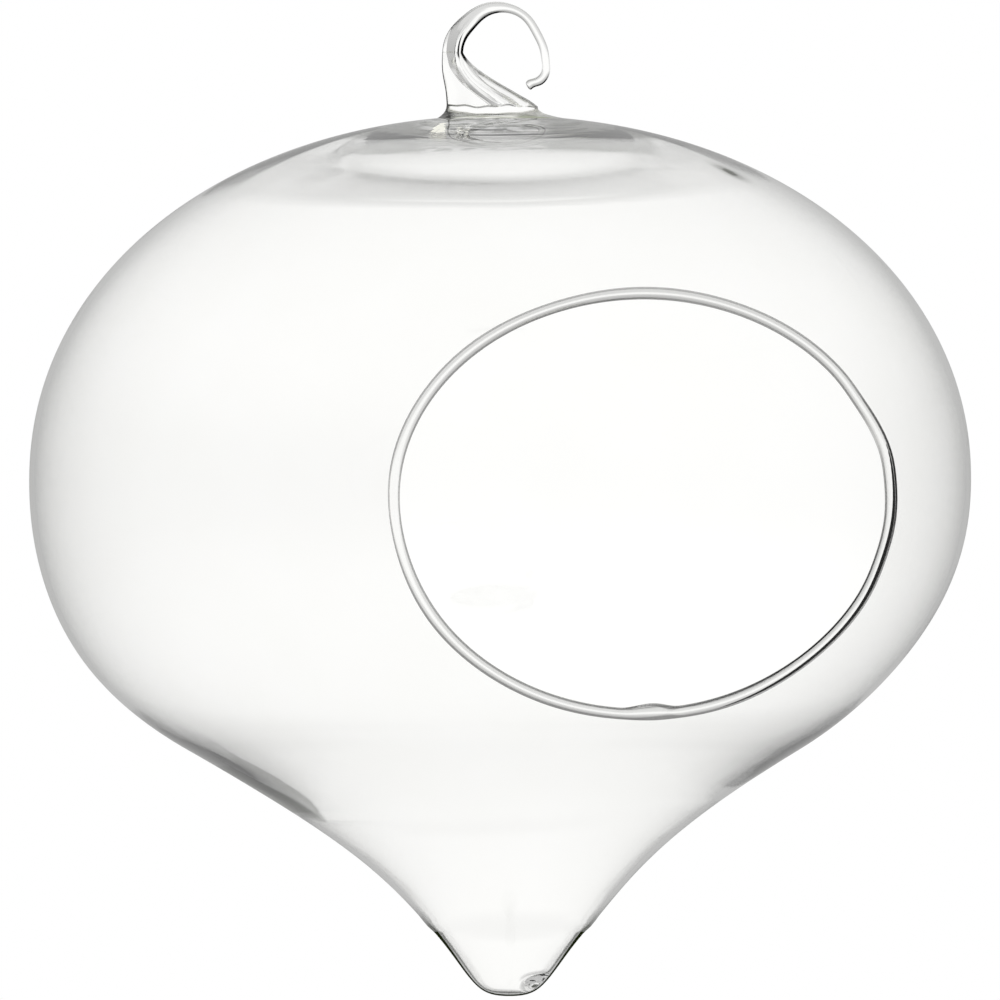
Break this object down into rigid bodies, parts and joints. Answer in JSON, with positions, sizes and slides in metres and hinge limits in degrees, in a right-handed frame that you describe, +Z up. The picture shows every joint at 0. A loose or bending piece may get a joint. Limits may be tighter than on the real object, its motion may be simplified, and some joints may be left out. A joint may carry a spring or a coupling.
{
  "type": "hanging glass planter",
  "caption": "Clear blown-glass hanging planter: an onion-shaped bulb drawn to a sealed point, with an oval side mouth and a glass hook fused on its crown.",
  "frame": {"origin": "where the cord bears inside the eye of the hook: the top of the eye", "axes": "+Z up along the way it hangs; the loop of the hook lies in the XZ plane; the mouth looks towards -Y, turned 21.85 degrees towards +X"},
  "size_m": [0.15, 0.1484, 0.1585],
  "materials": {
    "blown_glass": "clear, free-blown, smooth and thin, with the faint waves of hot working",
    "worked_glass": "clear, solid and fire-polished, with drawn lines and small folds"
  },
  "bodies": {
    "root": {"blown_bulb": "blown_glass", "sealed_tip": "worked_glass", "mouth_lip": "worked_glass", "lip_join_drop": "worked_glass", "hook_foot": "worked_glass", "hanging_hook": "worked_glass"}
  },
  "joints": []
}
